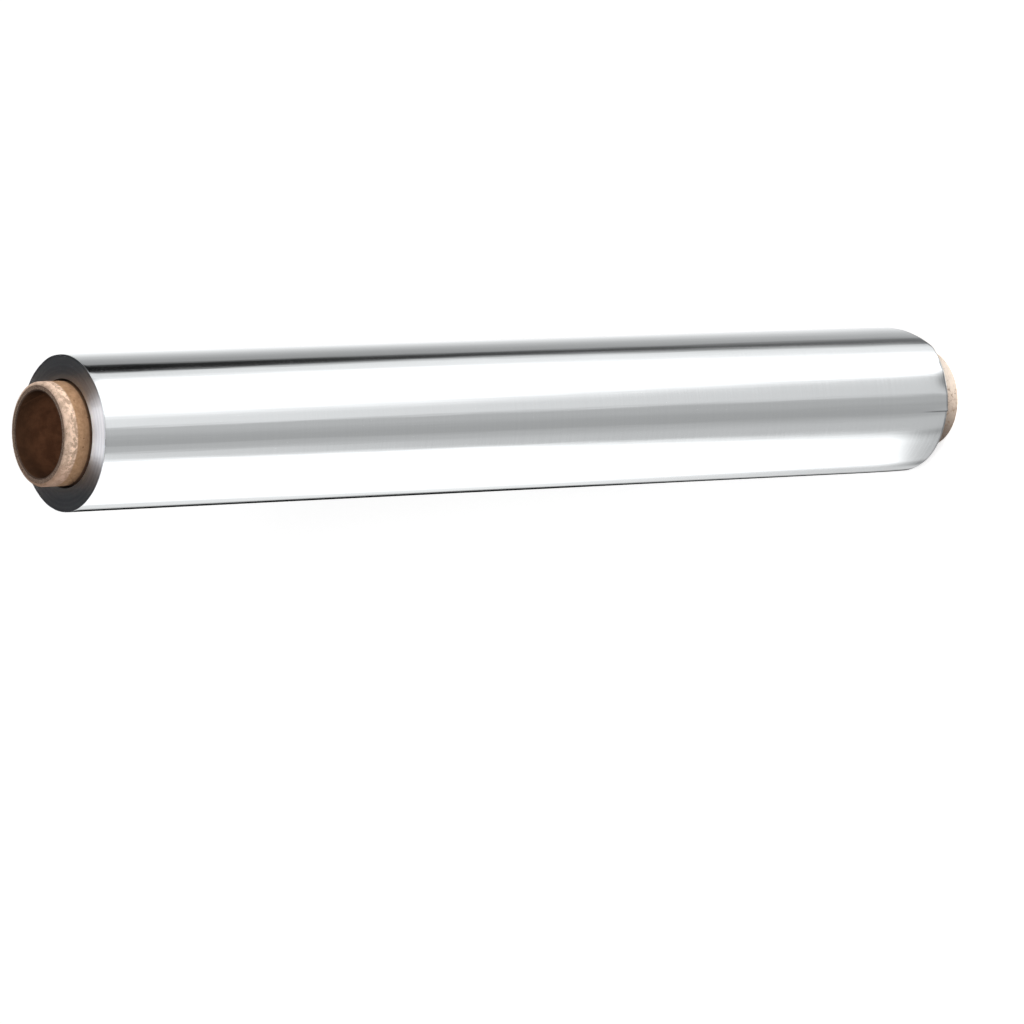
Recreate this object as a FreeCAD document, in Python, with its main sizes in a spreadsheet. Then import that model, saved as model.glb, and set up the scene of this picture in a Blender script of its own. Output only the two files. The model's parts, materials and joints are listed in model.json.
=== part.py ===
import FreeCAD, Part
import math
import os

import Sketcher
from FreeCAD import Rotation, Vector

# A kitchen roll of aluminium foil, standing on one end of its paperboard core.
# Z is the roll's axis. The origin is the centre of the core's foot, on the surface it stands on.
# All sizes are in millimetres and all angles in degrees.

SIZES = {
    "core_outer_diameter": 29.2,
    "core_wall": 2.5,
    "core_edge_rounding": 1.0,
    "core_bore_chamfer": 0.25,
    # How far the core stands out of the foil at each end.
    "overhang_foot": 10.4,
    "overhang_top": 8.0,
    # The wound web of foil, seated on the core.
    "web_width": 300.0,
    "winding_depth": 7.4,
    "seat_clearance": 0.02,
    # The last turn ends in a free edge that stands this far proud of the turn below.
    "lap_step": 0.2,
    "free_edge_angle": -102.0,
    # The turns wander sideways as they are wound, so each end of the foil is a set of shallow rings.
    "ring_count": 10,
    "ring_wander": 0.2,
    "ring_phase_step": 67.0,
}

# The radii and heights that more than one sketch uses, worked out from the sheet.
CORE_RADIUS = "Sizes.core_outer_diameter / 2"
BORE_RADIUS = "(Sizes.core_outer_diameter / 2 - Sizes.core_wall)"
CORE_LENGTH = "(Sizes.overhang_foot + Sizes.web_width + Sizes.overhang_top)"
SEAT_RADIUS = "(Sizes.core_outer_diameter / 2 + Sizes.seat_clearance)"
FOIL_RADIUS = "(Sizes.core_outer_diameter / 2 + Sizes.seat_clearance + Sizes.winding_depth)"


def make_sheet(doc):
    """The spreadsheet that drives every sub-part: one named cell for each size."""
    sheet = doc.addObject("Spreadsheet::Sheet", "Sizes")
    for row, (name, value) in enumerate(SIZES.items(), start=1):
        sheet.set(f"A{row}", name)
        sheet.set(f"B{row}", str(value))
        sheet.setAlias(f"B{row}", name)
    doc.recompute()
    return sheet


def new_body(doc, label):
    body = doc.addObject("PartDesign::Body", label)
    body.Label = label
    return body


def new_sketch(body, name, plane_role):
    """A sketch on one of the body's own origin planes."""
    sketch = body.newObject("Sketcher::SketchObject", name)
    planes = [feature for feature in body.Origin.OriginFeatures if feature.Role == plane_role]
    sketch.AttachmentSupport = [(planes[0], "")]
    sketch.MapMode = "FlatFace"
    sketch.Visibility = False
    return sketch


def length_of(sketch, formula):
    """What a formula comes to at the sheet's present sizes."""
    return float(sketch.evalExpression(formula))


def point_of(sketch, across, up):
    return Vector(length_of(sketch, across), length_of(sketch, up), 0)


def tie(sketch, constraint, name, formula):
    """Adds a dimension to the sketch and ties it to the sheet."""
    index = sketch.addConstraint(constraint)
    sketch.renameConstraint(index, name)
    sketch.setExpression(f"Constraints.{name}", formula)


def tie_point(sketch, curve, end, name, across, up):
    """Holds one end or the centre of a curve where two formulas put it."""
    place = point_of(sketch, across, up)
    tie(sketch, Sketcher.Constraint("DistanceX", -1, 1, curve, end, place.x), f"{name}_across", across)
    tie(sketch, Sketcher.Constraint("DistanceY", -1, 1, curve, end, place.y), f"{name}_up", up)


def tie_radius(sketch, curve, name, formula):
    tie(sketch, Sketcher.Constraint("Radius", curve, length_of(sketch, formula)), name, formula)


def draw_profile(sketch, name, corners):
    """A closed chain of straight lines through corners, each given by its two formulas."""
    first = sketch.GeometryCount
    count = len(corners)
    points = [point_of(sketch, across, up) for across, up in corners]
    for i in range(count):
        sketch.addGeometry(Part.LineSegment(points[i], points[(i + 1) % count]))
    for i in range(count):
        following = first + (i + 1) % count
        sketch.addConstraint(Sketcher.Constraint("Coincident", first + i, 2, following, 1))
    for i, (across, up) in enumerate(corners):
        tie_point(sketch, first + i, 1, f"{name}_{i}", across, up)


def turn_profile(body, kind, name, sketch):
    """A full turn of a sketch about the roll's axis: a Revolution adds it, a Groove cuts it."""
    feature = body.newObject(f"PartDesign::{kind}", name)
    feature.Profile = sketch
    feature.ReferenceAxis = (sketch, ["V_Axis"])
    feature.Angle = 360.0
    return feature


def rim_edges(feature, radius):
    """The names of a feature's circular edges of one radius."""
    names = []
    for i, edge in enumerate(feature.Shape.Edges, start=1):
        if isinstance(edge.Curve, Part.Circle) and abs(edge.Curve.Radius - radius) < 0.001:
            names.append(f"Edge{i}")
    return names


def make_core(doc):
    """The thick paperboard tube: both rims are rounded outside and eased inside."""
    body = new_body(doc, "core_tube")
    wall = new_sketch(body, "wall_profile", "XZ_Plane")
    corners = [
        (BORE_RADIUS, "0"),
        (CORE_RADIUS, "0"),
        (CORE_RADIUS, CORE_LENGTH),
        (BORE_RADIUS, CORE_LENGTH),
    ]
    draw_profile(wall, "corner", corners)
    tube = turn_profile(body, "Revolution", "wall", wall)
    doc.recompute()
    edges = body.newObject("PartDesign::Fillet", "rounded_edges")
    edges.Base = (tube, rim_edges(tube, length_of(wall, CORE_RADIUS)))
    edges.setExpression("Radius", "Sizes.core_edge_rounding")
    doc.recompute()
    mouths = body.newObject("PartDesign::Chamfer", "bore_mouths")
    mouths.Base = (edges, rim_edges(edges, length_of(wall, BORE_RADIUS)))
    mouths.setExpression("Size", "Sizes.core_bore_chamfer")
    doc.recompute()
    return body


def draw_spiral(sketch):
    """The foil's outline: four quarter arcs, each a quarter of the lap smaller, and the free edge.

    The arcs' centres are the corners of a small square round the axis, so each arc runs smoothly
    into the next, and the last one ends one lap below the start of the first.
    """
    square = [("", "-"), ("", ""), ("-", ""), ("-", "-")]
    end_levels = ["Vertical", "Horizontal", "Vertical", "Horizontal"]
    for i, (side_x, side_y) in enumerate(square):
        centre_x = f"{side_x}Sizes.lap_step / 8"
        centre_y = f"{side_y}Sizes.lap_step / 8"
        radius = length_of(sketch, f"{FOIL_RADIUS} - {i} * Sizes.lap_step / 4")
        circle = Part.Circle(point_of(sketch, centre_x, centre_y), Vector(0, 0, 1), radius)
        sketch.addGeometry(Part.ArcOfCircle(circle, math.radians(90 * i), math.radians(90 * (i + 1))))
        tie_point(sketch, i, 3, f"centre_{i}", centre_x, centre_y)
        sketch.addConstraint(Sketcher.Constraint(end_levels[i], i, 3, i, 2))
    tie_radius(sketch, 0, "first_radius", FOIL_RADIUS)
    sketch.addConstraint(Sketcher.Constraint("Horizontal", 0, 3, 0, 1))
    for i in range(3):
        sketch.addConstraint(Sketcher.Constraint("Coincident", i, 2, i + 1, 1))
    lap_foot = point_of(sketch, f"{FOIL_RADIUS} - 7 * Sizes.lap_step / 8", "-Sizes.lap_step / 8")
    lap_top = point_of(sketch, f"{FOIL_RADIUS} + Sizes.lap_step / 8", "-Sizes.lap_step / 8")
    free_edge = sketch.addGeometry(Part.LineSegment(lap_foot, lap_top))
    sketch.addConstraint(Sketcher.Constraint("Coincident", 3, 2, free_edge, 1))
    sketch.addConstraint(Sketcher.Constraint("Coincident", free_edge, 2, 0, 1))


def draw_seat(sketch):
    """The hole through the foil, which the core fills."""
    circle = Part.Circle(Vector(0, 0, 0), Vector(0, 0, 1), length_of(sketch, SEAT_RADIUS))
    hole = sketch.addGeometry(circle)
    sketch.addConstraint(Sketcher.Constraint("Coincident", hole, 3, -1, 1))
    tie_radius(sketch, hole, "seat_radius", SEAT_RADIUS)


def ring_corners(count, face, outwards, first_ring):
    """The corners of a cut that leaves one end of the foil in rings, each at its own small depth.

    face is the end's height, and outwards is + for the end that faces up and - for the other.
    """
    inwards = "-" if outwards == "+" else "+"
    outer = f"({FOIL_RADIUS} + Sizes.lap_step)"
    corners = []
    for i in range(count):
        wave = f"sin({i + first_ring} * Sizes.ring_phase_step * 1 deg)"
        level = f"{face} {inwards} Sizes.ring_wander * (1 + {wave}) / 2"
        for edge in (i, i + 1):
            corners.append((f"{CORE_RADIUS} + ({outer} - {CORE_RADIUS}) * {edge} / {count}", level))
    clear = f"{face} {outwards} Sizes.ring_wander"
    corners.append((outer, clear))
    corners.append((CORE_RADIUS, clear))
    return corners


def make_winding(doc, sheet):
    """All the turns of foil as one solid, seated on the core, with its free edge along the roll."""
    body = new_body(doc, "foil_winding")
    outline = new_sketch(body, "turn_outline", "XY_Plane")
    draw_spiral(outline)
    draw_seat(outline)
    turns = body.newObject("PartDesign::Pad", "turns")
    turns.Profile = outline
    turns.setExpression("Length", "Sizes.web_width")
    doc.recompute()
    ring_count = int(sheet.ring_count)
    rings = new_sketch(body, "ring_profiles", "XZ_Plane")
    draw_profile(rings, "top", ring_corners(ring_count, "Sizes.web_width", "+", 0))
    draw_profile(rings, "foot", ring_corners(ring_count, "0", "-", 3))
    turn_profile(body, "Groove", "end_rings", rings)
    body.Placement.Rotation = Rotation(Vector(0, 0, 1), sheet.free_edge_angle)
    body.setExpression("Placement.Rotation.Angle", "Sizes.free_edge_angle")
    body.setExpression("Placement.Base.z", "Sizes.overhang_foot")
    doc.recompute()
    return body


def check_cuts(doc):
    """Stops the build if a cut takes nothing away."""
    for feature in doc.Objects:
        if feature.TypeId in ("PartDesign::Fillet", "PartDesign::Chamfer", "PartDesign::Groove"):
            if feature.Shape.Volume >= feature.BaseFeature.Shape.Volume:
                raise RuntimeError(f"{feature.Name} cuts nothing")


def check(doc, bodies):
    """Stops the build if any feature failed or any sub-part isn't one sound solid."""
    for item in doc.Objects:
        if "Invalid" in item.State or "Error" in item.State:
            raise RuntimeError(f"{item.Name} failed: {item.State}")
    for body in bodies:
        shape = body.Shape
        if shape.isNull() or not shape.isValid() or len(shape.Solids) != 1:
            raise RuntimeError(f"{body.Label} isn't one sound solid")
        print(f"{body.Label}: {shape.Volume / 1000:.2f} cm3, {len(shape.Faces)} faces")


def main():
    doc = FreeCAD.newDocument("foil_roll")
    sheet = make_sheet(doc)
    bodies = [make_core(doc), make_winding(doc, sheet)]
    check(doc, bodies)
    check_cuts(doc)
    os.makedirs("parts", exist_ok=True)
    for body in bodies:
        body.Shape.exportStep(f"parts/{body.Label}.step")


main()
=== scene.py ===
import json
import math
import random
import bpy
from mathutils import Matrix, Vector, noise


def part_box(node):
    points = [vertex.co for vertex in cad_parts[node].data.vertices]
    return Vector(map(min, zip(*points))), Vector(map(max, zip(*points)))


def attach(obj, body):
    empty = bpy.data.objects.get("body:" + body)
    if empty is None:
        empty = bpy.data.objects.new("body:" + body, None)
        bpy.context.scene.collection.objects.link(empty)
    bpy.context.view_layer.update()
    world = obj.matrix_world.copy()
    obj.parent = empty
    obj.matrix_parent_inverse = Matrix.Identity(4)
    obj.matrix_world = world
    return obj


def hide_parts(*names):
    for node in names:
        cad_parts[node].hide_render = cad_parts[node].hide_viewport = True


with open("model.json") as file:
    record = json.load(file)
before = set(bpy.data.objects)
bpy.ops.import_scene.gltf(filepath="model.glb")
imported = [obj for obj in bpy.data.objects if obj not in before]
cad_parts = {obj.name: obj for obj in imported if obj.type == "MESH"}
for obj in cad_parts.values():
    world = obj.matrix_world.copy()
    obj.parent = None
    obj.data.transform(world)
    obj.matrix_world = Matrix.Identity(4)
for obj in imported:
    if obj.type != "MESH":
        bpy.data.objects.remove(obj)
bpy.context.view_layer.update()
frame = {"record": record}
print("frame loaded")

mm = 0.001

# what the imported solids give: the roll's axis is Z
coreLow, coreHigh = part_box("core_tube")
foilLow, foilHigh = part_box("foil_winding")
coreRadius = (coreHigh.x - coreLow.x) / 2
coreTop = coreHigh.z
foilFoot, foilTop = foilLow.z, foilHigh.z
boreRadius = next(m["dims"]["r_mm"] for m in frame["record"]["mounts"] if m["name"] == "core_bore") * mm


# shared helpers for shapes

def smoothStep(x):
    x = min(max(x, 0.0), 1.0)
    return x * x * (3 - 2 * x)


def sine(degrees):
    return math.sin(math.radians(degrees))


def turnFrom(angle, degrees):
    # how far an angle lies from a direction given in degrees, between minus and plus half a turn
    return (angle - math.radians(degrees) + math.pi) % math.tau - math.pi


def spread(low, high, count):
    return [low + (high - low) * i / (count - 1) for i in range(count)]


def gradedRows(low, high, fine, coarse, growth):
    # rows that are close together at both ends and wide apart in the middle
    half = (high - low) / 2
    steps = [0.0]
    step = fine
    while steps[-1] + step < half:
        steps.append(steps[-1] + step)
        step = min(step * growth, coarse)
    left = [low + s for s in steps]
    return left + [low + half] + [high - s for s in reversed(steps)]


def makePiece(name, points, faces, materials, nodeName):
    # faces are (corner indices, material index)
    mesh = bpy.data.meshes.new(name)
    mesh.from_pydata(points, [], [corners for corners, _ in faces])
    for material in materials:
        mesh.materials.append(material)
    mesh.polygons.foreach_set("material_index", [index for _, index in faces])
    mesh.polygons.foreach_set("use_smooth", [True] * len(faces))
    mesh.validate()
    mesh.set_sharp_from_angle(angle=math.radians(38))
    mesh.update()
    piece = bpy.data.objects.new(name, mesh)
    bpy.context.scene.collection.objects.link(piece)
    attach(piece, "root")
    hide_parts(nodeName)
    print(name, "has", len(faces), "faces")


# shared helpers for materials

def newMaterial(name):
    material = bpy.data.materials.new(name)
    material.use_nodes = True
    tree = material.node_tree
    shader = next(n for n in tree.nodes if n.type == "BSDF_PRINCIPLED")
    return material, tree, shader


def setInputs(tree, node, values):
    # each input is set to a value or linked to another node's output
    for key, value in values.items():
        if isinstance(value, bpy.types.NodeSocket):
            tree.links.new(value, node.inputs[key])
        else:
            node.inputs[key].default_value = value


def addNode(tree, kind, values, **settings):
    node = tree.nodes.new(kind)
    for key, setting in settings.items():
        setattr(node, key, setting)
    setInputs(tree, node, values)
    return node


def doMath(tree, operation, first, second=0.0, third=0.0):
    return addNode(tree, "ShaderNodeMath", {0: first, 1: second, 2: third}, operation=operation).outputs[0]


def mixColour(tree, amount, first, second):
    return addNode(tree, "ShaderNodeMix", {0: amount, 6: first, 7: second}, data_type="RGBA").outputs[2]


def rangeOf(tree, value, low, high, toLow=0.0, toHigh=1.0, smooth=True):
    node = addNode(
        tree, "ShaderNodeMapRange", {0: value, 1: low, 2: high, 3: toLow, 4: toHigh},
        interpolation_type="SMOOTHSTEP" if smooth else "LINEAR",
    )
    return node.outputs[0]


def placeOf(tree, kind="Object"):
    # where a point lies, as one vector and as its x, y and z
    place = addNode(tree, "ShaderNodeTexCoord", {}).outputs[kind]
    return place, *addNode(tree, "ShaderNodeSeparateXYZ", {0: place}).outputs


def radiusOf(tree, x, y):
    return doMath(tree, "SQRT", doMath(tree, "MULTIPLY_ADD", x, x, doMath(tree, "MULTIPLY", y, y)))


def noiseOf(tree, place, scale, stretch=(1, 1, 1), detail=3.0, roughness=0.5, turn=(0, 0, 0)):
    # scale is in features per metre, and stretch lengthens the pattern along an axis when under 1
    mapping = addNode(
        tree, "ShaderNodeMapping", {"Vector": place, "Rotation": turn, "Scale": [scale * s for s in stretch]}
    )
    node = addNode(
        tree, "ShaderNodeTexNoise",
        {"Vector": mapping.outputs[0], "Scale": 1.0, "Detail": detail, "Roughness": roughness},
    )
    return node.outputs[0]


def bumpOf(tree, strength, distance, height, over=None):
    values = {"Strength": strength, "Distance": distance, "Height": height}
    if over is not None:
        values["Normal"] = over
    return addNode(tree, "ShaderNodeBump", values).outputs[0]


# the camera stands where the photograph was taken from, turned on its side because the roll stands on end

cameraSetup = {
    "aim": (-0.02812, -0.00087, 0.15922),
    "azimuth": 0.0,
    "elevation": 35.93,
    "roll": 92.96,
    "distance": 1.88046,
    "lens": 227.9,
}


def makeCamera(setup):
    azimuth, elevation = math.radians(setup["azimuth"]), math.radians(setup["elevation"])
    back = Vector((
        math.sin(azimuth) * math.cos(elevation),
        -math.cos(azimuth) * math.cos(elevation),
        math.sin(elevation),
    ))
    data = bpy.data.cameras.new("camera")
    data.lens = setup["lens"]
    data.sensor_width = 36.0
    data.clip_start = 0.05
    data.clip_end = 50.0
    camera = bpy.data.objects.new("camera", data)
    bpy.context.scene.collection.objects.link(camera)
    level = back.to_track_quat("Z", "Y").to_matrix()
    turn = Matrix.Rotation(-math.radians(setup["roll"]), 3, back)
    stand = Matrix.Translation(Vector(setup["aim"]) + back * setup["distance"])
    camera.matrix_world = stand @ (turn @ level).to_4x4()
    bpy.context.scene.camera = camera


makeCamera(cameraSetup)
print("camera placed")


# the studio: a pale floor, a soft dome for everything but reflections,
# and long soft strips for the foil to mirror

studio = {
    "floorRadius": 4.3,          # it ends before the far lamps, so no edge of their light shows on it
    "floorColour": (0.90, 0.90, 0.90, 1),
    "floorGlow": 0.64,
    "domeFront": 0.42,
    "domeBack": 0.38,
    "domeTop": 0.15,
    "domeFar": 0.45,             # share of the dome's light that comes from -X
    "domeShoulder": (0.2, 0.75),  # heights between which the dome's sides turn into its top
    "backdrop": 1.0,
    "tint": (0.985, 0.998, 1.0),
    # elevations of what the roll's top and foot mirror towards the camera
    "topMirrors": -32.0,
    "footMirrors": -39.4,
    # strips of light and dark round the roll, in azimuth order from the back over -X, the camera's side
    # and +X: start and softness in degrees, each as the roll's top, middle and foot mirror them
    "behind": (0.0, 0.0, 0.02),  # the level before the first strip
    "strips": [
        {"name": "lowEdge", "start": (-154, -152, -161), "soft": (10, 10, 14), "level": (0.80, 0.93, 0.62)},
        {"name": "lowBox", "start": (-132, -136, -127), "soft": (12, 14, 20), "level": (1.5, 1.5, 1.5)},
        {"name": "lowStep", "start": (-45, -49, -62), "soft": (10, 8, 27), "level": (0.78, 0.55, 0.53)},
        {"name": "greyEdge", "start": (-33.5, -34, -32), "soft": (4, 22, 10), "level": (0.48, 0.46, 0.45)},
        {"name": "grey", "start": (-22, -25, -27), "soft": (5, 8, 10), "level": (0.40, 0.385, 0.38)},
        {"name": "greyRise", "start": (-9, -9, -10), "soft": (16, 14, 10), "level": (0.53, 0.46, 0.435)},
        {"name": "glow", "start": (3.5, 4.0, 4.6), "soft": (4, 5, 8), "level": (0.85, 0.74, 0.65)},
        {"name": "keyBox", "start": (21, 26, 37), "soft": (16, 24, 14), "level": (1.5, 1.5, 1.5)},
        {"name": "keyEdge", "start": (78.5, 84, 76), "soft": (18, 10, 16), "level": (0.74, 0.95, 0.88)},
        {"name": "topGap", "start": (92.5, 101.5, 95.5), "soft": (5, 12, 12), "level": (0.0, 0.05, 0.15)},
        {"name": "topFade", "start": (113, 113, 113), "soft": (6, 8, 14), "level": (0.32, 0.34, 0.42)},
        {"name": "topGlow", "start": (144, 146, 142), "soft": (60, 60, 58), "level": (1.1, 1.05, 0.95)},
    ],
    # the strips end just above the horizon, lower at the back: how far back this starts and ends,
    # how high they reach there, and how softly they end, all for a direction of length 1
    "stripTurn": (-0.2, 0.5),
    "stripReach": (0.16, 0.04),
    "stripTopSoft": 0.06,
    # below what the sound surface mirrors it gets darker, sooner under the lower box, so a bent edge shows:
    # elevations where the dimming starts and ends, and what is left of the light
    "under": (-43.0, -50.0, 0.30),
    "underAgain": (-54.0, -68.0, 0.58),    # further down the pale floor comes back
    "underBox": (-39.7, -41.3, 0.34),
    "underBoxSpan": (-150, -132, -62, -48),  # azimuths where it starts, is full, starts to end and ends
    # at flatter angles the strips are softer, so the roll's sides and back look less like a mirror
    "flatAngles": (-29.5, -24.5),          # elevations where that starts and is full
    "gentleShare": 0.50,
    "gentleLift": 0.16,
    # what the foil's ends mirror: a dim ceiling with a soft ring of light round straight up
    "ceiling": 0.054,
    "ceilingLight": 4.2,
    "ceilingSpread": (27, 18),   # degrees from straight up where the light ends and where it is full
    "ceilingHole": (8, 15),      # the same for the hole in it
    "ceilingHoleLevel": 0.2,
}


def makeFloor(setup):
    material, tree, shader = newMaterial("paleFloor")
    setInputs(tree, shader, {
        "Base Color": setup["floorColour"],
        "Roughness": 0.9,
        "Specular IOR Level": 0.0,
        "Emission Color": (1, 1, 1, 1),
        "Emission Strength": setup["floorGlow"],
    })
    r = setup["floorRadius"]
    mesh = bpy.data.meshes.new("studioFloor")
    mesh.from_pydata([(-r, -r, 0), (r, -r, 0), (r, r, 0), (-r, r, 0)], [], [(0, 1, 2, 3)])
    mesh.materials.append(material)
    floor = bpy.data.objects.new("studioFloor", mesh)
    bpy.context.scene.collection.objects.link(floor)
    floor.visible_glossy = False  # the foil mirrors the strips, which reach lower than the floor


def alongRoll(tree, along, values):
    # a value that runs from the roll's top end over its middle to its foot end
    top, middle, foot = values
    half = rangeOf(tree, along, 0, 0.5, top, middle, smooth=False)
    return doMath(tree, "ADD", half, rangeOf(tree, along, 0.5, 1, 0, foot - middle, smooth=False))


def makeStrips(tree, azimuth, z, setup):
    # each strip changes the level of the one before it over its soft edge
    along = rangeOf(tree, z, sine(setup["topMirrors"]), sine(setup["footMirrors"]), smooth=False)
    level = before = alongRoll(tree, along, setup["behind"])
    for strip in setup["strips"]:
        current, start, soft = (alongRoll(tree, along, strip[key]) for key in ("level", "start", "soft"))
        fromEdge = doMath(tree, "DIVIDE", doMath(tree, "SUBTRACT", azimuth, start), soft)
        change = doMath(tree, "SUBTRACT", current, before)
        level = doMath(tree, "MULTIPLY_ADD", rangeOf(tree, fromEdge, -0.5, 0.5), change, level)
        level.node.label = strip["name"]
        before = current
    return level


def dimUnder(tree, level, azimuth, z, setup):
    def dimming(start, end, left):
        return rangeOf(tree, z, sine(start), sine(end), 1.0, left)

    start, full, ending, end = setup["underBoxSpan"]
    inBox = doMath(tree, "MULTIPLY", rangeOf(tree, azimuth, start, full), rangeOf(tree, azimuth, end, ending))
    boxDim = doMath(tree, "SUBTRACT", dimming(*setup["underBox"]), 1.0)
    level = doMath(tree, "MULTIPLY", level, doMath(tree, "MULTIPLY_ADD", inBox, boxDim, 1.0))
    startAgain, endAgain, gain = setup["underAgain"]
    again = doMath(tree, "MULTIPLY", doMath(tree, "SUBTRACT", 1.0, dimming(startAgain, endAgain, 0.0)), gain)
    return doMath(tree, "MULTIPLY", level, doMath(tree, "ADD", dimming(*setup["under"]), again))


def softenFlat(tree, level, z, setup):
    flat = rangeOf(tree, z, *(sine(a) for a in setup["flatAngles"]))
    gentle = doMath(tree, "MULTIPLY_ADD", level, setup["gentleShare"], setup["gentleLift"])
    return doMath(tree, "MULTIPLY_ADD", flat, doMath(tree, "SUBTRACT", gentle, level), level)


def makeCeilingLight(tree, x, y, z, setup):
    # the first term keeps the ring out of the lower half
    tilt = doMath(tree, "ADD", rangeOf(tree, z, 0.1, 0.0), radiusOf(tree, x, y))
    light = rangeOf(tree, tilt, *(sine(a) for a in setup["ceilingSpread"]), 0.0, setup["ceilingLight"])
    hole = rangeOf(tree, tilt, *(sine(a) for a in setup["ceilingHole"]), setup["ceilingHoleLevel"], 1.0)
    return doMath(tree, "MULTIPLY", light, hole)


def makeDome(tree, x, y, z, setup):
    sides = rangeOf(tree, y, 1.0, -1.0, setup["domeBack"], setup["domeFront"])
    sides = doMath(tree, "MULTIPLY", sides, rangeOf(tree, x, -1.0, 0.3, setup["domeFar"], 1.0))
    low, high = setup["domeShoulder"]
    sides = doMath(tree, "MULTIPLY", sides, rangeOf(tree, z, high, low))
    return doMath(tree, "ADD", sides, rangeOf(tree, z, low, high, 0.0, setup["domeTop"]))


def makeWorld(setup):
    # reflections see the strips and the ceiling, the camera a white backdrop, and the rest a soft dome
    world = bpy.data.worlds.new("studioLight")
    bpy.context.scene.world = world
    world.use_nodes = True
    tree = world.node_tree
    tree.nodes.clear()
    _, x, y, z = placeOf(tree, "Generated")
    azimuth = doMath(tree, "DEGREES", doMath(tree, "ARCTAN2", x, doMath(tree, "MULTIPLY", y, -1.0)))
    level = makeStrips(tree, azimuth, z, setup)
    level = dimUnder(tree, level, azimuth, z, setup)
    level = softenFlat(tree, level, z, setup)
    stripTop = rangeOf(tree, y, *setup["stripTurn"], *setup["stripReach"], smooth=False)
    overTop = doMath(tree, "SUBTRACT", z, stripTop)
    soft = setup["stripTopSoft"]
    level = doMath(tree, "MULTIPLY", level, rangeOf(tree, overTop, soft, -soft))
    level = doMath(tree, "ADD", level, rangeOf(tree, overTop, -soft, soft, 0.0, setup["ceiling"]))
    level = doMath(tree, "ADD", level, makeCeilingLight(tree, x, y, z, setup))
    tinted = addNode(tree, "ShaderNodeVectorMath", {0: setup["tint"], "Scale": level}, operation="SCALE")

    def light(colour, strength):
        return addNode(tree, "ShaderNodeBackground", {"Color": colour, "Strength": strength}).outputs[0]

    def choose(share, first, second):
        return addNode(tree, "ShaderNodeMixShader", {0: share, 1: first, 2: second}).outputs[0]

    ray = addNode(tree, "ShaderNodeLightPath", {}).outputs
    white = (1, 1, 1, 1)
    dome = light(white, makeDome(tree, x, y, z, setup))
    seen = choose(ray["Is Glossy Ray"], dome, light(tinted.outputs[0], 1.0))
    seen = choose(ray["Is Camera Ray"], seen, light(white, setup["backdrop"]))
    addNode(tree, "ShaderNodeOutputWorld", {"Surface": seen})
    world.cycles.sampling_method = "NONE"


# the lamps that light the board; the foil doesn't mirror them
lamps = [
    {"name": "keyLamp", "place": (5.4, -0.75, 0.44), "size": 1.5, "power": 162.0},
    {"name": "backLamp", "place": (1.4, 5.3, 0.52), "size": 1.4, "power": 117.0},
    {"name": "fillLamp", "place": (0.0, -1.5, 1.5), "size": 0.4, "power": 19.0},
]
lampAim = Vector((0.0, 0.0, 0.25))


def makeLamp(setup):
    data = bpy.data.lights.new(setup["name"], "AREA")
    data.shape = "DISK"
    data.size = setup["size"]
    data.energy = setup["power"]
    lamp = bpy.data.objects.new(setup["name"], data)
    lamp.location = setup["place"]
    lamp.rotation_euler = (lampAim - lamp.location).to_track_quat("-Z", "Y").to_euler()
    lamp.visible_glossy = False
    bpy.context.scene.collection.objects.link(lamp)


makeFloor(studio)
makeWorld(studio)
for lamp in lamps:
    makeLamp(lamp)
bpy.context.scene.view_settings.view_transform = "Standard"
print("studio lit")


# the paperboard core, wound from strips on a slant, so its columns of points follow the strips

core = {
    "stripPitch": 78 * mm,       # height of one turn of a strip
    "outerSeam": 205.0,          # where the outer seam starts at the foot, in degrees
    "innerSeam": 20.0,
    "seamWidth": 0.5 * mm,
    "seamDepth": 0.14 * mm,
    "columns": 232,
    "endRow": 0.3 * mm,
    "midRow": 3.0 * mm,
    "rowGrowth": 1.12,
    "edgeRound": 1.0 * mm,       # the rims are rounded outside and eased inside
    "edgeSteps": 6,
    "boreEase": 0.25 * mm,
    "rimRings": 8,
    "rimFuzz": 0.09 * mm,        # how uneven the sawn rim is
    "rimGrain": 1900,            # bumps per metre
    "skinFuzz": 0.0108 * mm,
    "skinGrain": 1400,
    # where there are two colours, they are a patchy surface's darker and lighter one
    "colours": {
        "kraft": ((0.335, 0.195, 0.108, 1), (0.465, 0.28, 0.158, 1)),
        "scuffed": ((0.47, 0.33, 0.24, 1), (0.92, 0.68, 0.52, 1)),
        # the next two are painted shade: the rounded cut edge, and the -X side of the scuffed band
        "rubbedEdge": (0.54, 0.39, 0.30, 1),
        "brownScuff": (0.42, 0.25, 0.17, 1),
        # the foot end's pale skin: partly paler board, partly painted light on the +X side
        "bleached": ((0.79, 0.66, 0.55, 1), (0.80, 0.72, 0.63, 1)),
        "footTan": (0.50, 0.39, 0.30, 1),
        # painted shadow on the foot end's -X side
        "footSmear": (0.10, 0.075, 0.06, 1),
        "footBlotch": (0.22, 0.14, 0.09, 1),
        "fibre": (0.24, 0.14, 0.078, 1),
        "speck": (0.12, 0.06, 0.035, 1),
        # the next two are painted shade next to the foil's ends
        "nearFoil": (0.10, 0.05, 0.03, 1),
        "besideFoil": (0.04, 0.02, 0.012, 1),
        "sawnBoard": ((0.17, 0.11, 0.078, 1), (0.41, 0.30, 0.235, 1)),
        "plyLine": (0.075, 0.045, 0.03, 1),
        "rimLine": (0.05, 0.03, 0.022, 1),
        "bore": ((0.098, 0.041, 0.021, 1), (0.155, 0.067, 0.034, 1)),
        "boreFibre": (0.165, 0.083, 0.044, 1),
        "grime": (0.045, 0.024, 0.013, 1),
    },
}


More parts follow.
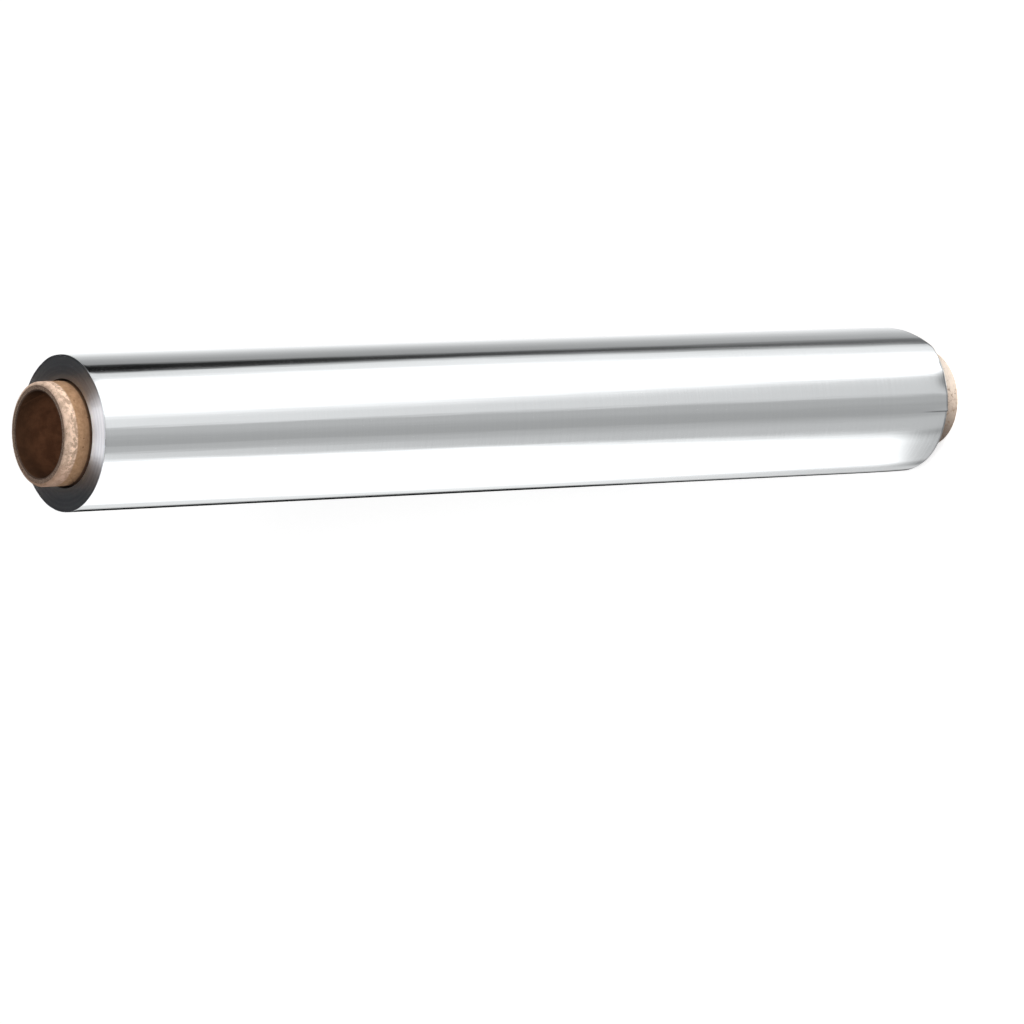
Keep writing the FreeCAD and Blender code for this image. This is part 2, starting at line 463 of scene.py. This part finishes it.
def coreColumns(setup):
    # angles of the columns at the foot, closer together beside the two seams
    seamTurn = math.degrees(setup["seamWidth"] / coreRadius)
    angles = {round(360 * i / setup["columns"], 4) for i in range(setup["columns"])}
    for seam in (setup["outerSeam"], setup["innerSeam"]):
        angles = {a for a in angles if abs(a - seam) > seamTurn * 1.1}
        angles |= {round(seam + seamTurn * k, 4) for k in (-1, -0.6, -0.25, 0, 0.25, 0.6, 1)}
    return sorted(angles)


def seamDip(setup, angle, seam):
    away = abs((angle - seam + 180) % 360 - 180)
    width = math.degrees(setup["seamWidth"] / coreRadius)
    return setup["seamDepth"] * (1 - smoothStep(away / width))


def boardFuzz(point, grain):
    # hardly ever past -0.9 or 0.9
    return noise.noise(Vector(point) * grain) + 0.5 * noise.noise(Vector(point) * grain * 2.7)


def makeCore(setup, materials):
    angles = coreColumns(setup)
    count = len(angles)
    points, faces, loops = [], [], []

    def addLoop(kind, radius, height, seam=None):
        # one ring of points, turned by how far the strips have climbed at this height
        climb = 360 * height / setup["stripPitch"]
        outwards = -1 if kind == "bore" else 1
        loops.append((kind, len(points)))
        for angle in angles:
            a = math.radians(angle + climb)
            r = radius
            if seam is not None:
                # the seam is a groove, and the fuzz stays under the true surface
                probe = (math.cos(a) * radius, math.sin(a) * radius, height)
                r -= outwards * seamDip(setup, angle, seam)
                r += outwards * setup["skinFuzz"] * (boardFuzz(probe, setup["skinGrain"]) - 0.9)
            points.append((math.cos(a) * r, math.sin(a) * r, height))

    def roughen(inwards):
        # the saw leaves the rim slightly uneven, never past the square end
        for i in range(len(points) - count, len(points)):
            x, y, z = points[i]
            bite = 0.5 + 0.5 * boardFuzz((x, y, z), setup["rimGrain"])
            points[i] = (x, y, z + inwards * setup["rimFuzz"] * min(max(bite, 0.0), 1.0))

    def rowsFrom(margin):
        rows = gradedRows(0.0, coreTop, setup["endRow"], setup["midRow"], setup["rowGrowth"])
        return [margin] + [z for z in rows if margin < z < coreTop - margin] + [coreTop - margin]

    # the rim's rings as (kind, radius, how far back from the square end), from the outside to the bore
    rounding, ease = setup["edgeRound"], setup["boreEase"]
    rim = []
    for i in range(1, setup["edgeSteps"] + 1):
        a = math.pi / 2 * i / setup["edgeSteps"]
        rim.append(("skin", coreRadius - rounding * (1 - math.cos(a)), rounding * (1 - math.sin(a))))
    rim += [("rim", r, 0.0) for r in spread(coreRadius - rounding, boreRadius + ease, setup["rimRings"])[1:]]
    rim.append(("rim", boreRadius + ease * 0.3, ease * 0.3))

    for height in rowsFrom(rounding):
        addLoop("skin", coreRadius, height, setup["outerSeam"])
    for kind, r, back in rim:
        addLoop(kind, r, coreTop - back)
        roughen(-1)
    for height in reversed(rowsFrom(ease)):
        addLoop("bore", boreRadius, height, setup["innerSeam"])
    for kind, r, back in reversed(rim):
        addLoop(kind, r, back)
        roughen(1)
    kinds = ["skin", "rim", "bore"]     # in the materials' order
    for (kind, start), (nextKind, following) in zip(loops, loops[1:] + loops[:1]):
        index = kinds.index(kind if kind == nextKind else "rim")
        for i in range(count):
            j = (i + 1) % count
            faces.append(((start + i, start + j, following + j, following + i), index))
    makePiece("coreTube", points, faces, materials, "core_tube")


def makeBoardSkin(colours):
    material, tree, shader = newMaterial("kraftSkin")
    place, x, y, z = placeOf(tree)
    cloudy = noiseOf(tree, place, 620, detail=6.0, roughness=0.68)
    fibres = noiseOf(tree, place, 1500, (0.45, 0.45, 2.6), detail=4.0, roughness=0.7, turn=(0.5, 0.2, 0.3))
    specks = noiseOf(tree, place, 1250, (1, 1, 0.8), detail=2.0, roughness=0.6)
    kraft = mixColour(tree, rangeOf(tree, cloudy, 0.35, 0.68), *colours["kraft"])
    # the skin is scuffed pale near the top end, and all over the foot end
    fromEnd = doMath(tree, "MINIMUM", doMath(tree, "MULTIPLY", z, 0.3), doMath(tree, "SUBTRACT", coreTop, z))
    ragged = doMath(tree, "MULTIPLY_ADD", noiseOf(tree, place, 120), 0.9 * mm, fromEnd)
    pale = mixColour(tree, rangeOf(tree, cloudy, 0.42, 0.58), *colours["scuffed"])
    # painted shade: the rounded cut edge is painted a little darker, and the scuffs browner and darker on the
    # -X side, away from the light
    pale = mixColour(tree, rangeOf(tree, fromEnd, 2.4 * mm, 1.0 * mm, 0.0, 0.5), pale, colours["rubbedEdge"])
    pale = mixColour(tree, rangeOf(tree, x, -5.5 * mm, -14.5 * mm, 0.0, 0.75), pale, colours["brownScuff"])
    atFoot = rangeOf(tree, z, 14 * mm, 11 * mm)
    # the foot end is painted paler and greyer, more so on the +X side: partly the board's own colour, partly
    # painted light where the light falls
    bleached = mixColour(tree, rangeOf(tree, x, -3 * mm, 7 * mm), *colours["bleached"])
    pale = mixColour(tree, doMath(tree, "MULTIPLY", atFoot, 0.8), pale, bleached)
    colour = mixColour(tree, rangeOf(tree, ragged, 4.5 * mm, 3.9 * mm), kraft, pale)

    def atFootOnly(colour, amount, over):
        return mixColour(tree, doMath(tree, "MULTIPLY", atFoot, amount), colour, over)

    # the foot end is tan on the +X side; on the other it is painted dark as shadow, and blotchy
    colour = atFootOnly(colour, rangeOf(tree, x, 10 * mm, 14 * mm, 0.0, 0.75), colours["footTan"])
    colour = atFootOnly(colour, rangeOf(tree, x, 2.5 * mm, -13 * mm, 0.0, 0.85), colours["footSmear"])
    colour = mixColour(tree, rangeOf(tree, fibres, 0.56, 0.72, 0.0, 0.55), colour, colours["fibre"])
    colour = mixColour(tree, rangeOf(tree, specks, 0.655, 0.735, 0.0, 0.85), colour, colours["speck"])
    away = rangeOf(tree, x, 5 * mm, 1 * mm, 0.0, 0.6)
    blotches = doMath(tree, "MULTIPLY", away, rangeOf(tree, specks, 0.55, 0.63))
    colour = atFootOnly(colour, blotches, colours["footBlotch"])
    # painted shade: the board is painted darker next to the foil's ends, where the foil shades it
    underFoil = doMath(tree, "MULTIPLY", doMath(tree, "SUBTRACT", foilFoot, z), 3.0)
    fromFoil = doMath(tree, "MAXIMUM", doMath(tree, "SUBTRACT", z, foilTop), underFoil)
    near = rangeOf(tree, fromFoil, 2.3 * mm, 0.0, 0.0, 0.42)
    colour = mixColour(tree, near, colour, colours["nearFoil"])
    beside = rangeOf(tree, fromFoil, 0.6 * mm, 0.2 * mm, 0.0, 0.8)
    colour = mixColour(tree, beside, colour, colours["besideFoil"])
    grain = doMath(tree, "ADD", fibres, doMath(tree, "MULTIPLY", specks, 0.5))
    setInputs(tree, shader, {
        "Base Color": colour,
        "Roughness": rangeOf(tree, fibres, 0.3, 0.7, 0.72, 0.92),
        "Specular IOR Level": 0.25,
        "Normal": bumpOf(tree, 0.5, 0.12 * mm, grain),
    })
    return material


def makeBoardRim(colours):
    material, tree, shader = newMaterial("boardRim")
    place, x, y, z = placeOf(tree)
    radius = radiusOf(tree, x, y)
    depth = doMath(tree, "SUBTRACT", coreRadius, radius)
    wobble = noiseOf(tree, place, 500, detail=4.0)
    grain = noiseOf(tree, place, 2600, detail=5.0, roughness=0.7)
    # the plies of the wall show as thin dark lines between the grey boards
    plies = doMath(tree, "DIVIDE", doMath(tree, "MULTIPLY_ADD", wobble, 0.14 * mm, depth), 0.37 * mm)
    line = doMath(tree, "ABSOLUTE", doMath(tree, "SUBTRACT", doMath(tree, "FRACT", plies), 0.5))
    colour = mixColour(tree, rangeOf(tree, grain, 0.32, 0.68), *colours["sawnBoard"])
    colour = mixColour(tree, rangeOf(tree, line, 0.40, 0.49, 0.0, 0.75), colour, colours["plyLine"])
    # a fainter line runs round the outside of the flat rim, and a darker one round the bore
    fromOutside = doMath(tree, "SUBTRACT", depth, core["edgeRound"])
    outerLine = rangeOf(tree, fromOutside, 0.28 * mm, 0.02 * mm, 0.0, 0.3)
    colour = mixColour(tree, outerLine, colour, colours["rimLine"])
    fromBore = doMath(tree, "SUBTRACT", radius, boreRadius + core["boreEase"])
    innerLine = rangeOf(tree, fromBore, 0.30 * mm, 0.02 * mm, 0.0, 0.8)
    colour = mixColour(tree, innerLine, colour, colours["rimLine"])
    height = doMath(tree, "SUBTRACT", grain, rangeOf(tree, line, 0.40, 0.49, 0.0, 0.6))
    setInputs(tree, shader, {
        "Base Color": colour,
        "Roughness": 0.93,
        "Specular IOR Level": 0.15,
        "Normal": bumpOf(tree, 0.7, 0.15 * mm, height),
    })
    return material


def makeBoardBore(colours):
    material, tree, shader = newMaterial("boreBoard")
    place, x, y, z = placeOf(tree)
    cloudy = noiseOf(tree, place, 300, detail=6.0, roughness=0.6)
    fibres = noiseOf(tree, place, 1300, (0.5, 0.5, 2.4), detail=4.0, roughness=0.7, turn=(0.4, 0.3, 0.2))
    colour = mixColour(tree, rangeOf(tree, cloudy, 0.35, 0.65), *colours["bore"])
    colour = mixColour(tree, rangeOf(tree, fibres, 0.55, 0.75, 0.0, 0.5), colour, colours["boreFibre"])
    # the mouths are grimy
    fromEnd = doMath(tree, "MINIMUM", z, doMath(tree, "SUBTRACT", coreTop, z))
    colour = mixColour(tree, rangeOf(tree, fromEnd, 9.0 * mm, 1.0 * mm, 0.0, 0.6), colour, colours["grime"])
    setInputs(tree, shader, {
        "Base Color": colour,
        "Roughness": 0.9,
        "Specular IOR Level": 0.2,
        "Normal": bumpOf(tree, 0.5, 0.12 * mm, fibres),
    })
    return material


makeCore(core, [make(core["colours"]) for make in (makeBoardSkin, makeBoardRim, makeBoardBore)])


# the winding: a spiral outline with a free edge along the roll, and fine turns on both ends

foil = {
    "lap": 0.2 * mm,             # how much the outline falls in one turn
    "freeEdge": -102.0,          # angle of the free edge
    "lipUnder": 2.4 * mm,        # how far the gap reaches under the free edge
    "lipSheet": 0.03 * mm,
    "lipLift": 0.02 * mm,        # how far the free edge stands off along the roll
    "lipCurl": 0.26 * mm,        # what its curl at the foot end adds
    "lipCurlLength": 9 * mm,
    "lipWander": 0.25 * mm,      # how far the free edge strays from a straight line
    "lipBlend": 9.6 * mm,        # how far from it the web is drawn along
    "skin": 0.012 * mm,          # room for the waves under the outline
    "waveDepth": 0.006 * mm,
    "waves": 9,
    "columns": 270,
    "edgeRow": 0.06 * mm,
    "midRow": 2.6 * mm,
    "rowGrowth": 1.22,
    "edgeRipple": {"depth": 0.005 * mm, "pitch": 0.62 * mm, "fade": 1.3 * mm},
    "edgeRounding": {"depth": 0.05 * mm, "fade": 0.22 * mm},
    # the ends: rings of turns, in the groups that the CAD solid steps between
    "ringGroups": 10,
    "ringPhase": 67.0,
    "ringStep": 0.14 * mm,
    "ringDepth": 0.07 * mm,
    "ringWave": 0.02 * mm,
    # the first turns round the core sit back and leave a groove, which the end material paints dark as shade
    "seatGap": 0.42 * mm,
    "seatDepth": 1.1 * mm,
    "seatEase": (0.08 * mm, 0.12 * mm),
    "seatClearance": 0.02 * mm,
    # the edges of the web sink at the foot end: a little all round, and more in two places
    "footDroop": 0.06 * mm,
    "footDroopLength": 12 * mm,
    "sags": [
        {"angle": -138.0, "across": 16 * mm, "length": 20 * mm, "depth": 0.40 * mm},
        {"angle": -78.0, "across": 2.9 * mm, "length": 6.5 * mm, "depth": 0.25 * mm},
    ],
    # the foot end's corner is pushed in on the +X side
    "crush": {"angle": -6.0, "halfWidth": 40.0, "depth": 5.6 * mm, "reach": 22 * mm, "crumple": 0.16},
    "dings": 34,
    "seed": 11,
    "colours": {
        "bright": ((0.90, 0.91, 0.92, 1), (0.92, 0.93, 0.94, 1)),
        "lipShade": (0.12, 0.12, 0.13, 1),
        "turns": ((0.72, 0.735, 0.79, 1), (0.86, 0.875, 0.92, 1)),
        "innerTurns": (0.98, 0.975, 0.98, 1),
        # painted shade in the groove beside the core
        "shadeBesideCore": (0.04, 0.03, 0.03, 1),
    },
}

# radius of the outline at the free edge, from which it falls evenly round to +X
webRadius = foilHigh.x + foil["lap"] * -foil["freeEdge"] / 360 - foil["skin"]
freeEdge = math.radians(foil["freeEdge"])
gapTurn = foil["lipUnder"] / webRadius        # the gap under the free edge as an angle
blendTurn = foil["lipBlend"] / webRadius


def makeDings(setup):
    rng = random.Random(setup["seed"])
    dings = []
    for _ in range(setup["dings"]):
        dings.append({
            "angle": rng.uniform(0, 360),
            "atTop": rng.random() < 0.5,
            "across": rng.uniform(0.8, 3.2) * mm,
            "along": rng.uniform(0.4, 1.8) * mm,
            "depth": rng.uniform(0.01, 0.07) * mm,
        })
    return dings


def dingDepth(ding, angle, z):
    along = ((foilTop - z) if ding["atTop"] else (z - foilFoot)) / ding["along"]
    if along > 3.2:
        return 0.0
    across = turnFrom(angle, ding["angle"]) * webRadius / ding["across"]
    if abs(across) > 3:
        return 0.0
    return ding["depth"] * math.exp(-across * across - along * along)


def sagDepth(sag, angle, z):
    fromFoot = max(1 - (z - foilFoot) / sag["length"], 0)
    across = turnFrom(angle, sag["angle"]) * webRadius / sag["across"]
    return sag["depth"] * fromFoot ** 2 * math.exp(-across * across)


def crushPush(crush, angle, z):
    # how far the crushed corner moves a point of the web along the roll
    reach = 1 - (z - foilFoot) / crush["reach"]
    away = math.degrees(turnFrom(angle, crush["angle"])) / crush["halfWidth"]
    share = 1 - math.hypot(away, 0.12)
    if reach <= 0 or share <= 0:
        return 0.0
    crumple = 1 + crush["crumple"] * noise.noise(Vector((math.cos(angle) * 6, math.sin(angle) * 6, 2.0)))
    return crush["depth"] * share * reach * crumple


def webSurface(setup, rng):
    # returns a function that finds the web's outer surface at an angle on from the free edge and at a height
    dings = makeDings(setup)
    ripple, rounding = setup["edgeRipple"], setup["edgeRounding"]
    waves = [
        (rng.uniform(0.006, 0.05), rng.uniform(0, math.tau), rng.uniform(0.2, 1.0))
        for _ in range(setup["waves"])
    ]

    def gauge(z):
        # rings round the roll where the web is a touch thicker
        return sum(w * math.sin(math.tau * z / length + phase) for length, phase, w in waves) / len(waves)

    def lipHeight(turn, z):
        if turn >= gapTurn:
            return 0.0
        lift = setup["lipLift"] + setup["lipCurl"] * math.exp(-(z - foilFoot) / setup["lipCurlLength"])
        return lift * (1 + 0.5 * noise.noise(Vector((0, 3.3, z * 60)))) * (1 - turn / gapTurn) ** 2

    def surface(turn, z):
        angle = freeEdge + turn
        fromEdge = min(foilTop - z, z - foilFoot)
        soft = noise.noise(Vector((math.cos(angle) * 2.2, math.sin(angle) * 2.2, z * 14)))
        r = webRadius - setup["lap"] * turn / math.tau
        r += setup["waveDepth"] * (gauge(z) + soft)
        swing = math.sin(math.tau * fromEdge / ripple["pitch"])
        r += ripple["depth"] * swing * math.exp(-fromEdge / ripple["fade"])
        r -= rounding["depth"] * math.exp(-fromEdge / rounding["fade"])
        r -= setup["footDroop"] * max(1 - (z - foilFoot) / setup["footDroopLength"], 0) ** 2
        r -= sum(sagDepth(sag, angle, z) for sag in setup["sags"])
        r -= sum(dingDepth(ding, angle, z) for ding in dings)
        r += lipHeight(turn, z)
        if turn < blendTurn:
            stray = setup["lipWander"] * noise.noise(Vector((7.1, 0, z * 22)))
            angle += stray / webRadius * (1 - turn / blendTurn)
        return r, angle, z + crushPush(setup["crush"], angle, z)

    return surface


def webTurns(setup):
    # how far round the columns of points lie: from the free edge, a full turn and on under the gap
    start = [gapTurn * share for share in (0.0, 0.08, 0.2, 0.38, 0.62, 1.0)]
    regular = [
        turn for turn in spread(0, math.tau, setup["columns"] + 1)
        if gapTurn * 1.2 < turn < math.tau - gapTurn * 0.8
    ]
    before = [math.tau - gapTurn * share for share in (0.6, 0.3, 0.12, 0.04)]
    return start, start + regular + before + [math.tau + turn for turn in start]


def onRoll(r, angle, z):
    return math.cos(angle) * r, math.sin(angle) * r, z


def makeFoil(setup, materials):
    rng = random.Random(setup["seed"] + 1)
    surface = webSurface(setup, rng)
    turnStart, turns = webTurns(setup)
    lipCount = len(turnStart)
    bright, edgeOn = 0, 1        # the materials' indices
    points, faces = [], []
    outside, beneath = [], []
    for z in gradedRows(foilFoot, foilTop, setup["edgeRow"], setup["midRow"], setup["rowGrowth"]):
        outside.append(range(len(points), len(points) + len(turns)))
        points += [onRoll(*surface(turn, z)) for turn in turns]
        beneath.append(range(len(points), len(points) + lipCount))
        for turn in turnStart:
            r, angle, height = surface(turn, z)
            points.append(onRoll(r - setup["lipSheet"], angle, height))
    for a, b, c, d in zip(outside, outside[1:], beneath, beneath[1:]):
        for i in range(len(turns) - 1):
            faces.append(((a[i], a[i + 1], b[i + 1], b[i]), bright))
        for i in range(lipCount - 1):
            faces.append(((c[i + 1], c[i], d[i], d[i + 1]), edgeOn))
        faces.append(((c[0], a[0], b[0], d[0]), bright))
        faces.append(((a[-1], c[-1], d[-1], b[-1]), bright))

    def addEnd(row, lipRow, z, inwards, firstRing):
        inner = coreRadius + setup["seatGap"]
        bulk = list(row[lipCount - 1:])
        spokes = turns[lipCount - 1:-1]
        loops = [bulk]

        def addFace(*corners):
            faces.append((corners if inwards < 0 else corners[::-1], edgeOn))

        def addLoop(loopPoints):
            start = len(points)
            points.extend(loopPoints)
            loops.append([*range(start, len(points)), start])

        def ringPoint(turn, part, level, ring):
            r, angle, height = surface(turn, z)
            push = (height - z) * max(1 - part / 0.85, 0) ** 1.2
            unevenness = 1 + noise.noise(Vector((math.cos(angle) * 3, math.sin(angle) * 3, ring)))
            bite = level + setup["ringWave"] * unevenness
            return onRoll(r - part * (r - inner), angle, z + push + inwards * bite)

        # fine rings of turns, each a little higher or lower than the next
        ringCount = int((webRadius - setup["lap"] - inner) / setup["ringStep"])
        for ring in range(ringCount):
            part = (ring + 0.4) / ringCount
            group = int((1 - part) * setup["ringGroups"])
            level = 0.5 + 0.5 * sine((group + firstRing) * setup["ringPhase"])
            level = setup["ringDepth"] * (0.9 * level + rng.uniform(0.0, 0.8))
            addLoop([ringPoint(turn, part, level, ring) for turn in spokes])
        # the groove beside the core: its eased edge, its wall and its floor
        easeAcross, easeDown = setup["seatEase"]
        depth = setup["seatDepth"]
        for away, down in ((0.0, easeDown), (easeAcross, depth), (setup["seatGap"], depth)):
            radius = max(inner - away, coreRadius + setup["seatClearance"])
            addLoop([onRoll(radius, freeEdge + turn, z + inwards * down) for turn in spokes])
        for above, below in zip(loops, loops[1:]):
            for i in range(len(bulk) - 1):
                addFace(above[i], above[i + 1], below[i + 1], below[i])
        for i in range(lipCount - 1):
            addFace(row[i], row[i + 1], lipRow[i + 1], lipRow[i])
        # the step from the last turn down to the one below it
        addFace(lipRow[-1], row[lipCount - 1], loops[1][0], row[-1])
        return loops[-1]

    top = addEnd(outside[-1], beneath[-1], foilTop, -1, 0)
    foot = addEnd(outside[0], beneath[0], foilFoot, 1, 3)
    for i in range(len(top) - 1):
        faces.append(((foot[i + 1], foot[i], top[i], top[i + 1]), edgeOn))
    makePiece("foilWinding", points, faces, materials, "foil_winding")


def finishFoil(tree, shader, colour, roughness, marks, normal):
    # aluminium that shines along fine marks round the roll, more so with stronger marks
    tangent = addNode(tree, "ShaderNodeTangent", {}, direction_type="RADIAL", axis="Z").outputs[0]
    setInputs(tree, shader, {
        "Base Color": colour,
        "Metallic": 1.0,
        "Roughness": roughness,
        "Anisotropic": marks,
        "Anisotropic Rotation": 0.25,
        "Tangent": tangent,
        "Normal": normal,
    })


def makeFoilBright(colours):
    material, tree, shader = newMaterial("foilBright")
    place, x, y, z = placeOf(tree)
    # rolling marks run round the roll, so they change fast along it and slowly round it
    lines = noiseOf(tree, place, 2600, (0.008, 0.008, 1), detail=4.0, roughness=0.65)
    cloudy = noiseOf(tree, place, 60, (1, 1, 0.6))
    colour = mixColour(tree, rangeOf(tree, lines, 0.3, 0.7), *colours["bright"])
    # at the foot end the free edge curls away and shades a thin line
    alongX, alongY = -math.sin(freeEdge), math.cos(freeEdge)
    across = doMath(tree, "MULTIPLY_ADD", x, alongX, doMath(tree, "MULTIPLY", y, alongY))
    inLine = rangeOf(tree, doMath(tree, "ABSOLUTE", across), 0.34 * mm, 0.12 * mm)
    nearFoot = rangeOf(tree, z, foilFoot + 11 * mm, foilFoot + 3 * mm, 0.0, 0.62)
    onSide = rangeOf(tree, y, -0.5 * coreRadius, -coreRadius)
    shade = doMath(tree, "MULTIPLY", doMath(tree, "MULTIPLY", inLine, nearFoot), onSide)
    colour = mixColour(tree, shade, colour, colours["lipShade"])
    dull = rangeOf(tree, cloudy, 0.3, 0.7, 0.0, 0.02)
    roughness = doMath(tree, "ADD", rangeOf(tree, lines, 0.25, 0.75, 0.078, 0.102), dull)
    # long faint waves lie along the roll, where the web was drawn tight
    waves = noiseOf(tree, place, 650, (1, 1, 0.035), detail=2.0)
    normal = bumpOf(tree, 1.0, 0.02 * mm, waves, over=bumpOf(tree, 0.022, 0.02 * mm, lines))
    finishFoil(tree, shader, colour, roughness, 0.6, normal)
    return material


def makeFoilEnd(colours):
    material, tree, shader = newMaterial("foilTurns")
    place, x, y, z = placeOf(tree)
    radius = radiusOf(tree, x, y)
    slow = doMath(tree, "MULTIPLY", x, 0.01)
    acrossTurns = addNode(tree, "ShaderNodeCombineXYZ", {0: radius, 1: slow}).outputs[0]
    turnsFine = noiseOf(tree, acrossTurns, 9000, roughness=0.7)
    groups = noiseOf(tree, acrossTurns, 900, detail=2.0)
    colour = mixColour(tree, rangeOf(tree, groups, 0.35, 0.65), *colours["turns"])
    # the inner turns are the brightest, apart from the very first, which are painted near black beside the
    # core as shade in the groove between foil and core
    inner = rangeOf(tree, radius, coreRadius + 2.4 * mm, coreRadius + 1.1 * mm, 0.0, 0.8)
    colour = mixColour(tree, inner, colour, colours["innerTurns"])
    past = rangeOf(tree, radius, coreRadius + foil["seatGap"], coreRadius + 0.75 * mm)
    colour = mixColour(tree, past, colours["shadeBesideCore"], colour)
    roughness = rangeOf(tree, turnsFine, 0.3, 0.7, 0.38, 0.46)
    finishFoil(tree, shader, colour, roughness, 1.0, bumpOf(tree, 0.2, 0.05 * mm, turnsFine))
    return material


makeFoil(foil, [makeFoilBright(foil["colours"]), makeFoilEnd(foil["colours"])])
